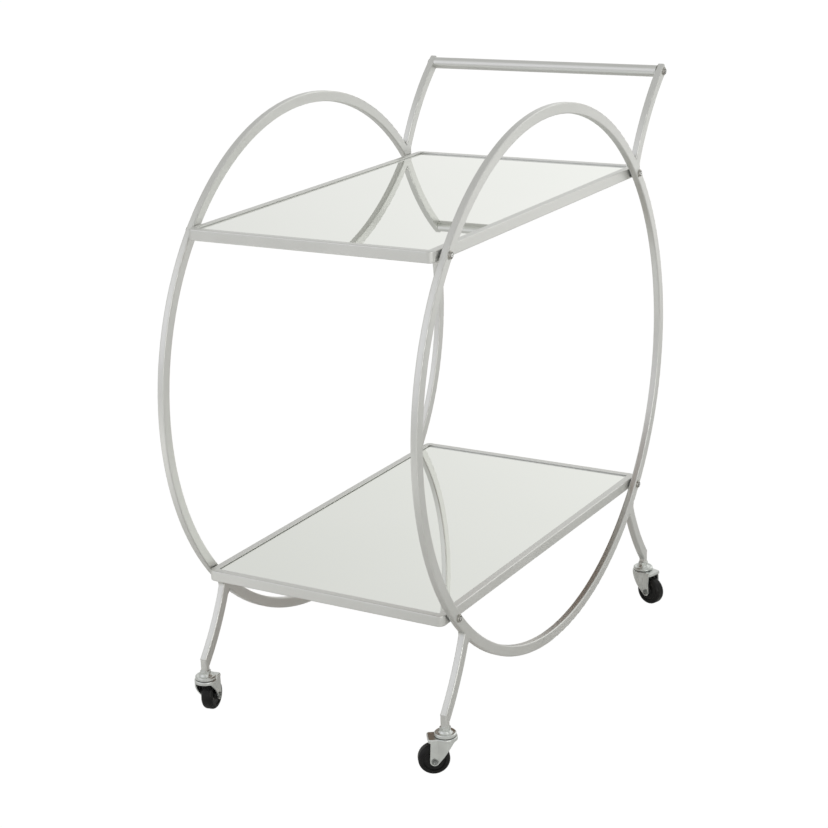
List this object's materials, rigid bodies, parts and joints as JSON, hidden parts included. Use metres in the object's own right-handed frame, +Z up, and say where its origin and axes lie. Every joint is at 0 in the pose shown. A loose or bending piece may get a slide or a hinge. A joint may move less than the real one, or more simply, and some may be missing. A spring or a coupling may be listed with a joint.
{
  "type": "spa trolley cart",
  "caption": "Two-tier serving trolley: two upright ring side frames, mirrored shelves, a raised push bar and four swivel casters on curved legs.",
  "frame": {"origin": "on the floor, below the middle of the trolley: midway between the two rings, under their common axis", "axes": "+Z up; +X from the left ring to the right ring, across the trolley; +Y along the shelves towards the push bar at the back; rest pose as pictured"},
  "size_m": [0.4519, 0.7579, 0.8243],
  "materials": {
    "silver_paint": "satin silver powder coat on steel tube",
    "mirror": "4 mm silvered mirror glass, clear and flat",
    "dark_board": "3 mm hardboard backing, dark brown and smooth on both faces",
    "black_foam": "black foam pads, matt",
    "zinc_steel": "bright zinc plate on pressed and turned steel",
    "bright_steel": "bright plated steel, polished",
    "grey_plastic": "moulded grey nylon, matt",
    "black_wheel": "solid black wheel, smooth semi-matt tread"
  },
  "bodies": {
    "cart_frame": {"ring_left": "silver_paint", "handle_arm_left": "silver_paint", "ring_right": "silver_paint", "handle_arm_right": "silver_paint", "handle_arm_caps": "grey_plastic", "handle_bar": "silver_paint", "handle_bar_plugs": "bright_steel", "handle_bolts": "bright_steel", "bottom_shelf_frame": "silver_paint", "bottom_shelf_ledge": "silver_paint", "bottom_shelf_foam_pads": "black_foam", "bottom_shelf_board": "dark_board", "bottom_shelf_mirror": "mirror", "bottom_shelf_rivet_nuts": "zinc_steel", "bottom_shelf_spacers": "grey_plastic", "bottom_shelf_bolts": "bright_steel", "top_shelf_frame": "silver_paint", "top_shelf_ledge": "silver_paint", "top_shelf_foam_pads": "black_foam", "top_shelf_board": "dark_board", "top_shelf_mirror": "mirror", "top_shelf_rivet_nuts": "zinc_steel", "top_shelf_spacers": "grey_plastic", "top_shelf_bolts": "bright_steel", "leg_front_left": "silver_paint", "caster_socket_front_left": "silver_paint", "caster_stem_front_left": "zinc_steel", "caster_raceway_front_left": "zinc_steel", "leg_front_right": "silver_paint", "caster_socket_front_right": "silver_paint", "caster_stem_front_right": "zinc_steel", "caster_raceway_front_right": "zinc_steel", "leg_back_left": "silver_paint", "caster_socket_back_left": "silver_paint", "caster_stem_back_left": "zinc_steel", "caster_raceway_back_left": "zinc_steel", "leg_back_right": "silver_paint", "caster_socket_back_right": "silver_paint", "caster_stem_back_right": "zinc_steel", "caster_raceway_back_right": "zinc_steel"},
    "fork_front_left": {"caster_fork_front_left": "zinc_steel", "caster_axle_front_left": "zinc_steel", "caster_balls_front_left": "bright_steel"},
    "wheel_front_left": {"caster_wheel_front_left": "black_wheel"},
    "fork_front_right": {"caster_fork_front_right": "zinc_steel", "caster_axle_front_right": "zinc_steel", "caster_balls_front_right": "bright_steel"},
    "wheel_front_right": {"caster_wheel_front_right": "black_wheel"},
    "fork_back_left": {"caster_fork_back_left": "zinc_steel", "caster_axle_back_left": "zinc_steel", "caster_balls_back_left": "bright_steel"},
    "wheel_back_left": {"caster_wheel_back_left": "black_wheel"},
    "fork_back_right": {"caster_fork_back_right": "zinc_steel", "caster_axle_back_right": "zinc_steel", "caster_balls_back_right": "bright_steel"},
    "wheel_back_right": {"caster_wheel_back_right": "black_wheel"}
  },
  "joints": [
    {"name": "swivel_front_left", "type": "hinge", "parent": "cart_frame", "child": "fork_front_left", "pos_m": [-0.19, -0.318, 0.052], "axis": [0, 0, 1], "continuous": true},
    {"name": "roll_front_left", "type": "hinge", "parent": "fork_front_left", "child": "wheel_front_left", "pos_m": [-0.19324, -0.30274, 0.021], "axis": [-0.9781, -0.2079, 0], "continuous": true},
    {"name": "swivel_front_right", "type": "hinge", "parent": "cart_frame", "child": "fork_front_right", "pos_m": [0.19, -0.318, 0.052], "axis": [0, 0, 1], "continuous": true},
    {"name": "roll_front_right", "type": "hinge", "parent": "fork_front_right", "child": "wheel_front_right", "pos_m": [0.17722, -0.32695, 0.021], "axis": [0.5736, -0.8192, 0], "continuous": true},
    {"name": "swivel_back_left", "type": "hinge", "parent": "cart_frame", "child": "fork_back_left", "pos_m": [-0.19, 0.318, 0.052], "axis": [0, 0, 1], "continuous": true},
    {"name": "roll_back_left", "type": "hinge", "parent": "fork_back_left", "child": "wheel_back_left", "pos_m": [-0.20466, 0.31266, 0.021], "axis": [0.342, -0.9397, 0], "continuous": true},
    {"name": "swivel_back_right", "type": "hinge", "parent": "cart_frame", "child": "fork_back_right", "pos_m": [0.19, 0.318, 0.052], "axis": [0, 0, 1], "continuous": true},
    {"name": "roll_back_right", "type": "hinge", "parent": "fork_back_right", "child": "wheel_back_right", "pos_m": [0.20484, 0.31318, 0.021], "axis": [0.309, 0.9511, 0], "continuous": true}
  ]
}
